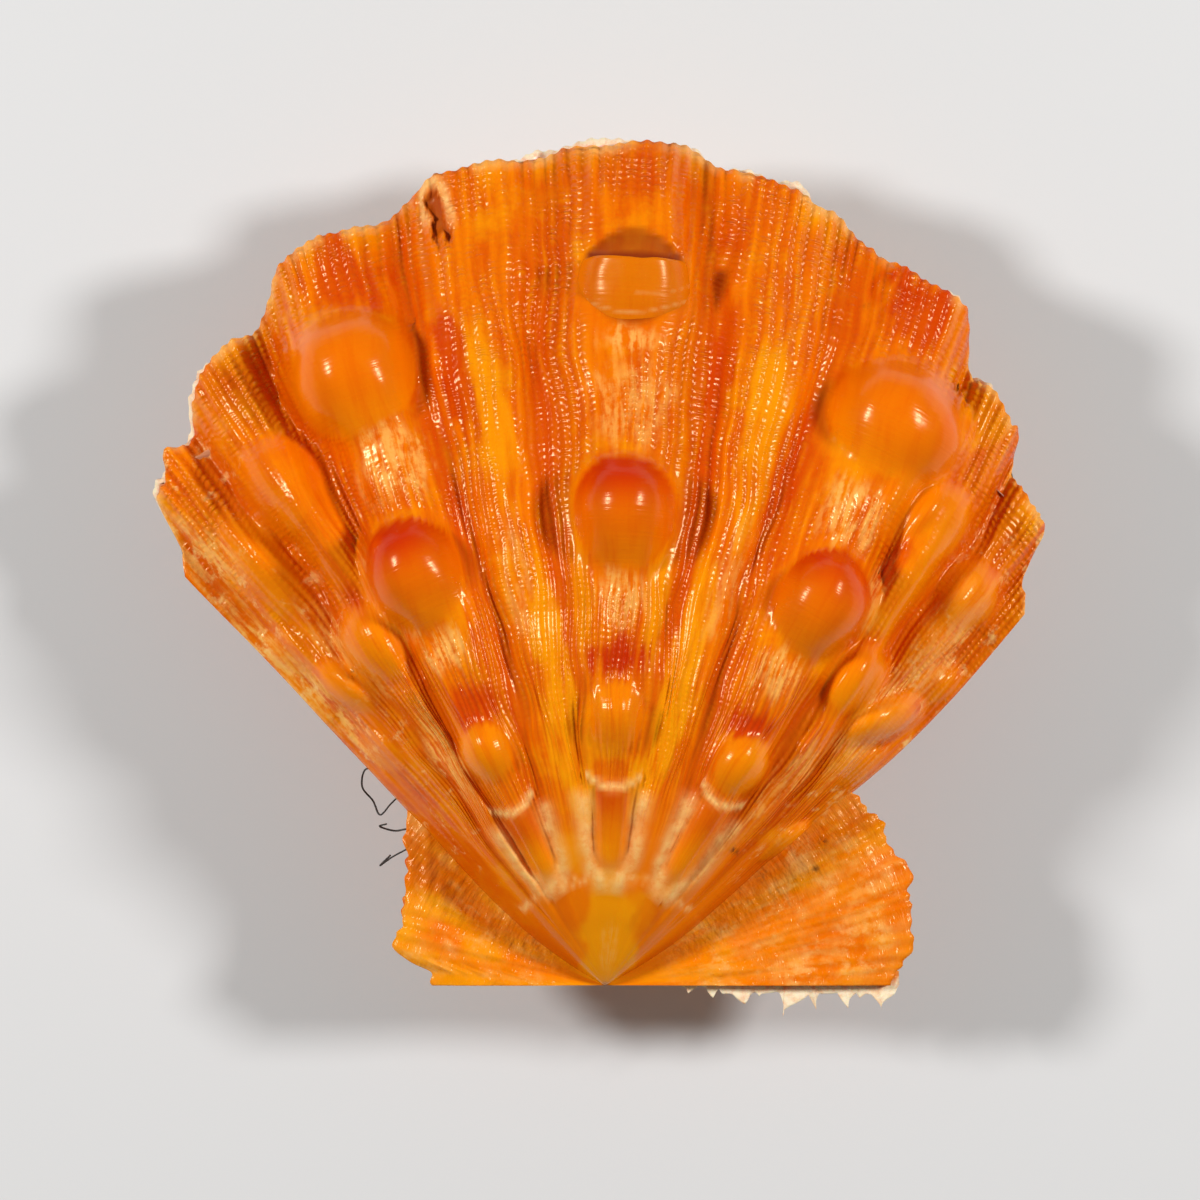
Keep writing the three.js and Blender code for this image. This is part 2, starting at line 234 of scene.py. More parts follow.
def lowerSurface(rib, t):
    shoulder = mix(valves["lowerShoulder"], valves["upperShoulder"], ease(0.7, 1, t))
    base = valves["meetingHeight"] - valves["gap"] / 2 - valves["edgeThickness"]
    return base - domeHeight(valves["lowerDome"], rib, t) + ribHeight(rib, t, shoulder)


def shareAt(rib, distance):
    rib = np.array([float(rib)])
    t = distance / reachAt(rib, np.ones(1))
    for _ in range(4):
        t = distance / reachAt(rib, t)
    return t


def planPoint(angle, distance):
    turn = np.radians(angle)
    return valves["beak"][0] + distance * np.sin(turn), valves["beak"][1] + distance * np.cos(turn)


def turned(x, y, turn):
    return x * np.cos(turn) - y * np.sin(turn), x * np.sin(turn) + y * np.cos(turn)


# A place on a rib: its x and y, which way the rib runs there, and its height.
def ribPlace(rib, reach):
    t = shareAt(rib, reach)
    rib = np.array([float(rib)])
    angle = angleAt(rib, t)
    return (*planPoint(angle, reach), np.radians(angle), upperSurface(rib, t)[0])


# Where a point lies beside a place on a rib: across it, along it, and that place's height.
def besidePlace(x, y, rib, reach):
    x0, y0, turn, height = ribPlace(rib, reach)
    return (*turned(x - x0, y - y0, turn), height)


# Rib, reach, width, length, height, how red its top is, how softly it swells, and its turn.
knobs = {
    "places": [
        (6.5, 65.5, 6, 11, 2.8, 0, 1, 0),
        (4, 31.3, 6.2, 6.8, 2, 0, 0.65, 0), (4, 53.8, 11, 12.2, 4.6, 1, 0, 0),
        (2, 30.2, 5.8, 6.2, 2.1, 0, 0.4, 0), (2, 51.5, 10.7, 11.9, 4.6, 1, 0, 0),
        (2, 74.6, 13.7, 13.4, 5, 0.15, 0.08, 0), (6, 29.9, 5.8, 6.2, 2.1, 0, 0.4, 0),
        (6, 50, 10.4, 11.6, 4.6, 1, 0, 0), (6.05, 71.5, 15.2, 12.4, 4.9, 0.2, 0.08, 12),
        (0.98, 46.9, 7.2, 8.6, 2.5, 0.1, 0.4, -8), (0.96, 67.4, 9, 10.8, 2.9, 0.1, 0.6, 0),
        (1, 60.5, 6.6, 13, 1.7, 0.1, 1, 0), (0.1, 44.4, 4.6, 8.2, 1.9, 0, 0.45, -21),
        (0.24, 61.6, 6.2, 13, 2, 0, 0.8, 0), (7, 45, 6.1, 7.6, 2.2, 0.1, 0.5, 0),
        (6.88, 64.4, 7.2, 9.2, 2.7, 0.1, 0.5, -6), (6.94, 57.4, 5.8, 12, 1.6, 0.1, 1, 0),
        (8, 42.9, 4.6, 9.6, 2.5, 0, 0.4, 25), (7.94, 60.4, 6.8, 7.4, 2.4, 0, 0.5, 0),
        (7.9, 55, 5, 11, 1.5, 0, 1, 0), (8.42, 25.8, 2.8, 6.8, 1.9, 0, 0.3, 10),
        (8.5, 50.5, 4, 6.4, 1.1, 0, 0.9, 14), (8.45, 38, 3.4, 7, 1.1, 0, 0.9, 8),
        (-0.4, 52, 3.8, 7, 1.1, 0, 0.9, -10), (-0.35, 37, 3.4, 6, 1, 0, 0.9, -6),
    ],
    "lean": 7,
    "sink": 0.28,
    "umboStretch": 1.25,
}

brokenKnob = {
    "rib": 4.0, "reach": 81.9, "width": 12.8, "roofLength": 10.6, "height": 3.0,
    "edgeReach": 82.3, "widest": -3.6, "roofThickness": 0.45,
    "pitWidth": 5.7, "pitLength": 3.5, "pitUnderRoof": 7.5, "pitDepth": 1.7,
}

chippedSpot = {"rib": 2.79, "reach": 89.2, "width": 2.2, "length": 6.6, "depth": 1.2}

# Worn hollows on the three main ribs near the beak: rib, where it starts and ends, half width.
troughs = {
    "places": [(4, 12.7, 22.8, 2.75), (2, 13.4, 22.4, 2.4), (6, 13.6, 24.4, 2.4)],
    "depth": 1, "rimHeight": 0.3,
}

umbo = {"edge": 12.6, "step": 0.18}

# Dark specks of grit: angle, distance from the beak, half size.
specks = [(43.1, 21.3, 0.55), (55.2, 21.7, 0.6), (56.6, 29.5, 0.5), (-38.7, 45.4, 0.5), (-6, 31.6, 0.35),
          (61, 27.2, 0.35), (-16, 78, 0.3), (21, 82.5, 0.3)]


def speckMask(angle, reach):
    found = np.zeros_like(angle)
    for centre, distance, size in specks:
        across = np.radians(angle - centre) * distance
        found = np.maximum(found, bell(np.sqrt(across ** 2 + ((reach - distance) * 1.7) ** 2), size))
    return found


def only(made, kind):
    return [item for item in made if isinstance(item, kind)]


def flatGrid(columns, rows, size=0.5):
    bm = bmesh.new()
    bmesh.ops.create_grid(bm, x_segments=columns, y_segments=rows, size=size)
    return bm


# A grid whose open edge is carried inward, ring after ring, until it closes underneath.
# x is the place across, y the share of the way out, and z counts the rings.
ringStep = 0.01


def closedGrid(columns, rows, rings, meetsAtBeak=True, centre=(0.0, -0.05)):
    bm = flatGrid(columns, rows)
    if meetsAtBeak:
        beakRow = [v for v in bm.verts if v.co.y < -0.49999]
        bmesh.ops.pointmerge(bm, verts=beakRow, merge_co=(0, -0.5, 0))
    edges = [e for e in bm.edges if e.is_boundary]
    middle = Vector((*centre, 0))
    last = 1.0
    for number, share in enumerate(rings, 1):
        made = bmesh.ops.extrude_edge_only(bm, edges=edges)["geom"]
        verts = only(made, bmesh.types.BMVert)
        edges = [e for e in only(made, bmesh.types.BMEdge) if e.is_boundary]
        for v in verts:
            flat = Vector((v.co.x, v.co.y, 0))
            v.co = middle + (flat - middle) * (share / last)
            v.co.z = -number * ringStep
        last = share
    bmesh.ops.pointmerge(bm, verts=verts, merge_co=middle + Vector((0, 0, -len(rings) * ringStep)))
    bmesh.ops.recalc_face_normals(bm, faces=bm.faces)
    return bm


# The same kind of grid with a copy of itself right underneath, for a thin blade.
def bladeGrid(columns, rows):
    bm = flatGrid(columns, rows)
    made = bmesh.ops.extrude_face_region(bm, geom=list(bm.faces), use_keep_orig=True)["geom"]
    bmesh.ops.translate(bm, verts=only(made, bmesh.types.BMVert), vec=(0, 0, -ringStep))
    bmesh.ops.recalc_face_normals(bm, faces=bm.faces)
    return bm


def gridPlaces(mesh):
    flat = np.empty(len(mesh.vertices) * 3)
    mesh.vertices.foreach_get("co", flat)
    flat = flat.reshape(-1, 3)
    c, t = np.clip(flat[:, :2].T + 0.5, 0, 1)
    return c, t, np.round(-flat[:, 2] / ringStep).astype(int)


def placeMesh(mesh, x, y, z):
    mesh.vertices.foreach_set("co", (np.column_stack([x, y, z]) * mm).ravel())
    mesh.update()


def softenWhere(mesh, chosen, passes):
    bm = bmesh.new()
    bm.from_mesh(mesh)
    verts = [v for v, wanted in zip(bm.verts, chosen) if wanted]
    for _ in range(passes):
        bmesh.ops.smooth_vert(bm, verts=verts, factor=0.5, use_axis_x=True, use_axis_y=True, use_axis_z=True)
    bm.to_mesh(mesh)
    bm.free()


# Every piece has every mask. Those not named as everywhere hold on the outer skin alone.
def storeMasks(mesh, masks, outside=1.0, everywhere=("riblet", "reach")):
    for name in maskNames:
        layer = mesh.attributes.new(name, "FLOAT", "POINT")
        shown = masks.get(name, 0.0) * (1.0 if name in everywhere else outside)
        values = np.broadcast_to(shown, len(mesh.vertices)).astype(np.float32)
        layer.data.foreach_set("value", np.ascontiguousarray(values))


maskNames = ["riblet", "reach", "ribletMask", "knob", "red", "yellow", "pale", "furrowShadeAndDarkTone",
             "pit", "worn", "ear", "flank", "speck"]


def placed(name, data):
    item = bpy.data.objects.new(name, data)
    bpy.context.scene.collection.objects.link(item)
    return item


def meshFrom(bm, name):
    mesh = bpy.data.meshes.new(name)
    bm.to_mesh(mesh)
    bm.free()
    return mesh


# The fan's columns are spread evenly by their angle at the rim.
rimAngles = np.linspace(firstFold, lastFold, 2001)
rimTable = angleAt(rimAngles, np.ones_like(rimAngles))


def ribOfColumn(c):
    return np.interp(mix(rimTable[0], rimTable[-1], c), rimTable, rimAngles)


# Angle from +Y, distance from the beak, half width, half length, strength.
blotches = {
    "red": [
        (2, 37.5, 3.1, 2.9, 1), (-24.8, 35.5, 2.7, 2.8, 0.9), (28.5, 33.6, 2.4, 2.6, 0.9),
        (-20.5, 85, 5, 4.5, 0.75), (24.6, 84, 4.5, 4.5, 0.9), (2.6, 93, 5.4, 3.4, 0.45),
        (-13.6, 72, 1.6, 9, 0.8), (10.6, 72, 1.4, 9, 0.7), (10, 88, 1.5, 6, 0.4),
        (-6.5, 60, 1.3, 12, 0.35), (10.8, 56, 1.2, 12, 0.35), (-33, 62, 1.2, 12, 0.6),
        (34.5, 62, 1.2, 10, 0.6), (-17.5, 60, 1.2, 8, 0.5), (19.5, 62, 1.4, 8, 0.55),
        (-26, 9.5, 1.2, 2.6, 0.25), (31, 9.5, 1.2, 2.6, 0.25),
    ],
    "yellow": [
        (-8.6, 36, 1.9, 13, 1), (13.6, 36, 2, 13, 1), (-11.5, 66, 2.6, 11, 0.75), (15.6, 66, 2.6, 12, 0.8),
        (-6, 22, 1.6, 3.6, 1), (9.2, 23, 1.8, 4, 1), (-3.2, 45, 1.2, 8, 0.6), (7.4, 45, 1.2, 8, 0.7),
        (2, 6, 3.6, 6.5, 1), (20, 9, 2, 3, 0.5), (27, 46, 1.5, 9, 0.4), (-22, 44, 1.4, 8, 0.5),
    ],
    "pale": [
        (5, 4.2, 0.9, 2.2, 0.35), (2.3, 44, 2.6, 3.4, 0.7), (-25, 42.5, 2.4, 2.6, 0.9),
        (28.5, 40.5, 2.6, 3, 0.8), (2.3, 66.5, 4.6, 5.2, 0.55), (-21.6, 64, 4, 4, 0.8),
        (27.4, 60, 3.4, 3.4, 0.8), (2.2, 73, 4.2, 1.6, 0.8), (-34, 32, 1.6, 6, 0.7), (41, 32, 1.5, 6, 0.5),
        (-45, 50, 2, 12, 0.9), (-43, 66, 3, 5, 0.8), (45, 47, 2, 12, 0.7), (43.5, 58, 2.5, 5, 0.6),
        (34, 52, 1.6, 7, 0.6), (-29.5, 50, 1.5, 6, 0.6), (-38, 48, 1.6, 7, 0.6), (16.4, 47, 1.6, 6, 0.35),
        (-12.2, 48, 1.6, 6, 0.35),
    ],
}


def blotchMasks(angle, reach, seed):
    wobble = 0.35 * wander(angle * 0.8, reach * 0.25, seed)
    wobble += 0.25 * wander(angle * 2.4, reach * 0.6, seed + 1)
    x, y = planPoint(angle, reach)
    cloudy = 0.4 * wander(x * 0.35, y * 0.35, seed) + 0.3 * wander(x * 0.9, y * 0.9, seed + 1)
    wobble = mix(cloudy, wobble, ease(12, 24, reach))
    found = {}
    for kind, places in blotches.items():
        found[kind] = np.zeros_like(angle)
        for centre, distance, halfWidth, halfLength, strength in places:
            across = np.radians(angle - centre) * reach / halfWidth
            spread = np.sqrt(across ** 2 + ((reach - distance) / halfLength) ** 2) + wobble
            found[kind] = np.maximum(found[kind], strength * ease(1.25, 0.6, spread))
    return found


def ribletsOn(c, reach, seed):
    index = c * valves["ribletCount"]
    jitter = 0.22 * wander(index * 0.6, reach * 0.06, seed) + 0.1 * wander(index * 1.3, reach * 0.2, seed + 2)
    phase = index + jitter
    ridge = ridgeWave(phase) ** 1.5
    strength = 1 + 0.7 * wander(np.floor(phase) + 0.5, reach * 0.06, seed + 1)
    return phase, (ridge - 0.3) * strength * valves["ribletHeight"] * reach


def growthLines(c, reach, seed):
    path = reach + 0.5 * wander(c * 9, reach * 0.1, seed)
    slow = wander(path * 0.45, c * 3, seed + 1)
    fine = wander(path * 1.3, c * 5, seed + 2)
    return 0.12 * slow + 0.06 * fine


def knobField(x, y, surface):
    height = surface.copy()
    cover, red, gold, calm = (np.zeros_like(surface) for _ in range(4))
    for rib, reach, width, length, tall, redness, softness, turn in knobs["places"]:
        across, along, centre = besidePlace(x, y, rib, reach)
        across, along = turned(across, along, math.radians(turn))
        sink = knobs["sink"] * tall
        stretch = np.where(along < 0, knobs["umboStretch"], 1.0)
        uneven = 0.06 * wander(across * 0.35 + rib * 7, along * 0.35, 63)
        spread = (across / width * 2) ** 2 + (along / length * 2 / stretch) ** 2 + uneven
        near = spread < 1.7
        rise = (tall + sink) * np.maximum(0, 1 - spread) ** 0.58 - sink
        outside = -sink - 16 * np.maximum(0, np.sqrt(np.maximum(spread, 0)) - 1)
        lump = centre + along * math.sin(math.radians(knobs["lean"])) + np.where(spread < 1, rise, outside)
        touch = mix(1.5, 2.3, ease(0.25, -0.45, along / length)) * min(1, tall / 3)
        ball = higherOf(height, lump, touch)
        swell = height + tall * np.maximum(0, 1 - spread / 1.35) ** 1.5
        raised = mix(ball, swell, softness)
        above = ease(-0.7, 0.5, lump - surface) * ease(1.18, 0.94, spread)
        above = mix(above, 0.45 * ease(1.1, 0.45, spread), softness)
        height = np.where(near, raised, height)
        cover = np.maximum(cover, above)
        top = ease(-0.15, 0.75, along / (length / 2)) * (1 - 0.3 * ease(0, 1, across / width * 2))
        red = np.maximum(red, above * redness * mix(0.3, 1.0, top))
        amber = 0.6 if width < 8.5 else 0.15 + 0.45 * ease(-0.05, -0.5, along / length)
        gold = np.maximum(gold, above * amber * (1 - redness * top))
        calm = np.maximum(calm, (1 - softness) * ease(1.8, 1.15, spread))
    return height, cover, red, gold, calm


def wornField(x, y, reach, angle):
    dent, worn, red, smooth = (np.zeros_like(x) for _ in range(4))
    for rib, start, end, halfWidth in troughs["places"]:
        across, along, _ = besidePlace(x, y, rib, end)
        share = (along + end - start) / (end - start)
        width = halfWidth * (0.72 + 0.28 * np.clip(share, 0, 1)) + 0.12 * wander(along, across, 31)
        spread = np.sqrt((across / width) ** 2 + (np.maximum(0, 0.35 - share) / 0.35) ** 2)
        inside = ease(1.0, 0.45, spread) * ease(1.03, 0.95, share)
        swelling = np.sqrt(np.maximum(0, 1 - (across / (0.85 * width)) ** 2))
        broken = 0.8 + 0.35 * wander(along * 0.9, across * 0.9, 37)
        rim = bell(spread - 1.22, 0.4) * ease(1.02, 0.85, share)
        rim = rim * (along > -(end - start) * 1.2) * broken
        crescent = bell(along - (across / halfWidth) ** 2 - 0.1, 0.42)
        raised = rim + crescent * (np.abs(across) < halfWidth * 1.15)
        near = (np.abs(across) < 6) & (along > -(end - start) - 4) & (along < 4)
        dented = dent - troughs["depth"] * inside * (1 - 1.5 * swelling) + troughs["rimHeight"] * raised
        dent = np.where(near, dented, dent)
        worn = np.maximum(worn, near * np.clip(raised, 0, 1))
        red = np.maximum(red, near * inside * ease(0.3, 0.9, share))
        smooth = np.maximum(smooth, near * inside)
    edge = umbo["edge"] + 0.55 * wander(angle * 0.13, 0, 33)
    edge += 0.3 * wander(angle * 0.4, 0, 34)
    dent += umbo["step"] * ease(0.35, -0.35, reach - edge)
    edgeLine = bell(reach - edge - 0.2, 0.4) * (0.5 + 0.5 * wander(angle * 0.5, reach, 35))
    worn = np.maximum(worn, np.clip(edgeLine, 0, 1) * (np.abs(angle) < 48))
    return dent, worn, red, smooth


# How far out each ring of a fan's inside lies.
fanRings = [1.0, 0.985, 0.95, 0.85, 0.7, 0.5, 0.3, 0.1]

# The rim's outline beside the even one: angle, millimetres in or out.
rimTrim = np.array([
    (-50, -1.8), (-45.8, -1.7), (-45, -0.4), (-44, 0.9), (-42.5, 0.2), (-41, 0.6), (-39.5, 3.4),
    (-38, 2.6), (-36.5, -0.2), (-35, -1.7), (-33.5, -0.5), (-30, 0.4), (-27.5, -0.2), (-25.8, -1.4),
    (-24, -1.2), (-21, -0.2), (-18, -0.9), (-15, -1.4), (-13.5, -2), (-12, -0.7), (-9, -0.6),
    (-6, -0.6), (-3, 0.5), (0, -0.7), (3, -0.3), (6, -0.9), (9, 0.7), (12, 0.2),
    (13.8, -0.4), (15.3, -2.1), (18, -1.2), (20, 0.5), (24, -0.5), (27, -0.7), (28.8, -1.2),
    (31.2, 0.4), (33, 0.4), (36, -2), (39, 0.7), (41.5, -0.3), (43.4, -0.8), (45, 0.2),
    (46, 1), (47, 0.8), (48.5, -0.8), (50, -0.8),
])


def trimmedRim(angle, t):
    return np.interp(angle, rimTrim[:, 0], rimTrim[:, 1]) * ease(0.7, 1.0, t)


# What both fans start from: the mesh, its places on the fan, and the riblets there.
def fanGrid(name, grid, seed):
    mesh = meshFrom(closedGrid(*grid, fanRings), name)
    c, t, ring = gridPlaces(mesh)
    rib = ribOfColumn(c)
    angle, reach = angleAt(rib, t), t * reachAt(rib, t)
    return (mesh, c, t, ring, rib, angle, reach) + ribletsOn(c, reach, seed)


# The height of the rings inside: along the meeting line first, then up or down into the bowl,
# and always a little way behind the outer skin.
def linedHeight(z, ring, rib, t, dome, side):
    meeting = side * meetingSurface(rib, t) + valves["gap"] / 2
    bowl = np.maximum(side * innerSurface(dome, rib, t, side), meeting)
    behind = side * z - np.where(ring == 1, valves["edgeSkin"], valves["leastSkin"])
    within = np.minimum(np.where(ring <= 2, meeting, bowl), behind)
    return np.where(ring == 0, z, side * within)


def upperFan():
    mesh, c, t, ring, rib, angle, reach, phase, riblets = fanGrid("upperValve", (520, 138), 3)
    # the fan's edge is toothed where the riblets end
    edge = ease(0.93, 1, t)
    tooth = 0.22 * ridgeWave(phase) + 0.5 * wander(c * 40, 0, 8) + 0.45 * wander(c * 17, 0, 9)
    reach = reach + edge * (tooth - 0.15) * flankFade(rib) + trimmedRim(angle, t)
    angle = swayed(angle, reach, t)
    x, y = planPoint(angle, reach)
    surface = upperSurface(rib, t)
    knobbed, cover, knobRed, knobGold, calm = knobField(x, y, surface)
    dent, worn, troughRed, troughCover = wornField(x, y, reach, angle)

    across, along, _ = besidePlace(x, y, brokenKnob["rib"], brokenKnob["edgeReach"])
    arch = (across / brokenKnob["pitWidth"]) ** 2
    pitSpread = np.where(along > 0, np.maximum(along, 0) / brokenKnob["pitLength"] + arch,
                         np.sqrt((along / brokenKnob["pitUnderRoof"]) ** 2 + arch))
    pit = ease(1.1, 0.84, pitSpread)
    sunk = 0.3 * pit + 0.7 * ease(1.04, 0.2, pitSpread)
    fromHood = np.hypot(across, along - brokenKnob["widest"]) / 6.2
    hoodNear = ease(1.2, 0.95, fromHood) * (along < 0.6)
    acrossChip, alongChip, _ = besidePlace(x, y, chippedSpot["rib"], chippedSpot["reach"])
    chipSpread = np.sqrt((acrossChip / chippedSpot["width"] * 2) ** 2
                         + (alongChip / chippedSpot["length"] * 2) ** 2)
    chipSpread += 0.45 * wander(alongChip * 0.9, acrossChip * 1.1, 41)
    chip = ease(1.0, 0.75, chipSpread)

    young = ease(16, 29, reach + 2.5 * wander(c * 30, 0, 5))
    mask = young * (1 - cover) * (1 - troughCover) * (1 - pit) * (1 - 0.8 * hoodNear) * (1 - chip)
    mask *= (0.55 + 0.45 * flankFade(rib)) * (1 - 0.75 * calm)
    glints = 0.08 * troughCover
    faint = wander(angle * 0.3, reach * 0.14, 6) + 0.5 * wander(angle * 0.9, reach * 0.4, 7)
    mask *= 0.45 + 0.55 * ease(-0.5, 0.35, faint)
    z = knobbed + dent * ease(8, 11, reach + 2)
    z += riblets * mask + growthLines(c, reach, 11) * (1 - cover) * ease(10, 30, reach)
    uneven = 0.4 * wander(angle * 0.32, reach * 0.15, 12) * ease(20, 40, reach)
    z += uneven * (1 - cover) * ease(1, 0.9, t)
    z -= brokenKnob["pitDepth"] * sunk + chippedSpot["depth"] * chip
    z += 0.2 * edge * ridgeWave(phase) * flankFade(rib)

    placeMesh(mesh, x, y, linedHeight(z, ring, rib, t, valves["upperDome"], 1))
    softenWhere(mesh, (ring == 0) & (calm > 0.25), 4)

    spots = blotchMasks(angle, reach, 51)
    patchy = ease(-0.3, 0.5, wander(angle * 0.7, reach * 0.1, 52))
    # painted glow: the thin margin is lightened toward gold in patches, standing in for light through the
    # translucent edge
    rimGlowGold = 0.7 * ease(0.955, 0.995, t) * patchy
    # painted shade: the furrows between the ribs and the crease beside the ears near the beak are marked for
    # the darker furrow tone
    shadeBesideEars = ease(0.88, 0.97, np.abs(2 * c - 1)) * ease(0.5, 0.3, t)
    winding = besideFurrows(rib, t)
    furrowShadeAndDarkTone = ease(0.3, 0.47, np.abs(winding - np.round(winding)))
    furrowShadeAndDarkTone = furrowShadeAndDarkTone * ease(0.1, 0.3, t) * flankFade(rib)
    bare = 1 - cover
    storeMasks(mesh, {
        "riblet": phase, "reach": reach, "ribletMask": np.maximum(mask, glints),
        "knob": np.maximum.reduce([cover, 0.8 * hoodNear, 0.5 * troughCover]),
        "red": np.maximum.reduce([spots["red"] * bare, knobRed, troughRed * 0.75]),
        "yellow": np.maximum.reduce([spots["yellow"] * bare, knobGold, rimGlowGold, 0.5 * troughCover]),
        "pale": spots["pale"] * bare,
        "flank": ease(0.72, 0.84, np.abs(2 * c - 1)) * ease(14, 26, reach) * bare,
        "furrowShadeAndDarkTone": np.maximum(furrowShadeAndDarkTone, 0.8 * shadeBesideEars),
        # painted shade: the hollow under the broken knob's roof is darkened, most of all next to the roof's
        # free edge; the chipped spot is darkened too
        "pit": np.maximum(pit * mix(0.62, 1.0, ease(1.0, 0.2, along)), 0.6 * chip),
        "speck": speckMask(angle, reach),
        "worn": np.maximum.reduce([worn, bell(chipSpread - 1.3, 0.28) * ease(-2.5, 1.5, alongChip),
                                   0.6 * ease(0.985, 0.998, t) * patchy]),
    }, ring == 0)
    markInside(mesh, ring)
    return mesh


def smoothed(mesh):
    mesh.polygons.foreach_set("use_smooth", np.ones(len(mesh.polygons), bool))
    return mesh


def markInside(mesh, ring):
    smoothed(mesh)
    inside = np.array([min(ring[i] for i in p.vertices) >= 2 for p in mesh.polygons])
    mesh.polygons.foreach_set("material_index", inside.astype(np.int32))


# Ears: angle and reach of the outline from the hinge line inwards.
ears = {
    "small": [(-90, 19.7), (-85, 20.2), (-81, 23.8), (-76, 24.3), (-71, 24.8), (-66, 25.2),
              (-61, 26.2), (-56, 27.4), (-51, 29.2), (-47, 31), (-40, 30)],
    "large": [(90, 32.2), (85, 34.6), (80, 35.3), (74, 35.9), (69, 37), (65, 36.2),
              (61, 36.4), (57, 35.9), (53, 35.6), (46, 34)],
    "notched": [(90, 32.4), (85, 34.2), (80, 34.9), (74, 35.2), (69, 34.6), (66, 31),
                (63, 26), (60, 25), (56, 27), (50, 29)],
    "thickness": 1.45,
    "riblets": {"small": 12, "large": 17, "notched": 15},
    "grid": (104, 52),
}


def ear(name, side):
    outline = np.array(sorted(ears[name]), float)
    columns, rows = ears["grid"]
    mesh = meshFrom(closedGrid(columns, rows, [1.0, 0.96, 0.7, 0.3]), name)
    c, t, ring = gridPlaces(mesh)
    angle = mix(outline[0, 0], outline[-1, 0], c)
    corner = np.interp(angle, outline[:, 0], np.arange(len(outline)))
    edgeReach = smoothCurve(outline[:, 1], corner) - (0.5 if side < 0 else 0)
    seed = {"small": 61, "large": 71, "notched": 81}[name] + (0 if side > 0 else 5)
    count = ears["riblets"][name]
    phase = c * count + 0.35 * wander(c * count * 0.6, t * 3, seed)
    ridge = ridgeWave(phase)
    edge = ease(0.86, 1, t)
    ragged = 0.55 * wander(c * 11, 0, seed + 1) + 0.3 * wander(c * 25, 0, seed)
    reach = t * edgeReach + edge * (0.3 * (ridge - 0.5) + ragged)
    x, y = planPoint(angle, reach)
    hinge = ease(0, 1.2, np.abs(y - valves["beak"][1]))
    young = ease(0.12, 0.4, t)
    steps = edgeReach * (t - 1) * 0.5 + 0.5 * wander(c * 5, t * 3, seed + 2)
    growth = ridgeWave(steps)
    own = 0.6 + 0.5 * wander(np.floor(phase) + 0.5, reach * 0.12, seed + 6)
    relief = 0.13 * own * (ridge - 0.5) * young * (0.4 + 0.6 * hinge) * ease(0.3, 0.8, t)
    relief += 0.16 * (growth - 0.4) * young * (0.6 + 0.6 * wander(c * 8, t * 7, seed + 8))
    relief += 0.4 * wander(c * 4, t * 3, seed + 3) * young * hinge
    relief += 0.16 * wander(c * 13, t * 11, seed + 9) * young
    thick = mix(0.5, ears["thickness"], ease(0, 0.5, t)) - 0.5 * edge
    near = valves["meetingHeight"] + side * 0.2
    far = near + side * (thick + relief)
    placeMesh(mesh, x, y, np.where(ring == 0, far, near))
    spotted = wander(c * 9, reach * 0.5, seed + 4) + 0.5 * wander(c * 22, reach * 1.1, seed + 5)
    spotted = ease(-0.1, 0.5, spotted)
    # painted shade: the grooves between the ear's riblets are marked for the darker furrow tone; the smudge
    # on the large ear is a plain darker spot
    paleShare, goldShare, grooveShadeShare = (0.3, 0.9, 0.1) if name == "small" else (0.5, 0.6, 0.3)
    smudge = bell(np.hypot(np.radians(angle - 56.2) * 25.7, reach - 25.7), 2.0) * (name == "large")
    storeMasks(mesh, {
        "riblet": phase * 0.8, "reach": reach, "ribletMask": 0.25 * young * ease(0.4, 0.85, t),
        "pale": paleShare * (0.2 + 0.6 * spotted) * young, "ear": ease(0.05, 0.4, t),
        "yellow": goldShare * ease(-0.3, 0.6, wander(c * 6, t * 5, seed + 7)),
        "furrowShadeAndDarkTone": np.maximum(grooveShadeShare * (1 - ridge) * ease(0.3, 0.8, t), 0.75 * smudge),
        "speck": speckMask(angle, reach) * (side > 0),
    }, ring == 0)
    markInside(mesh, ring)
    if side < 0:
        mesh.flip_normals()
    return mesh


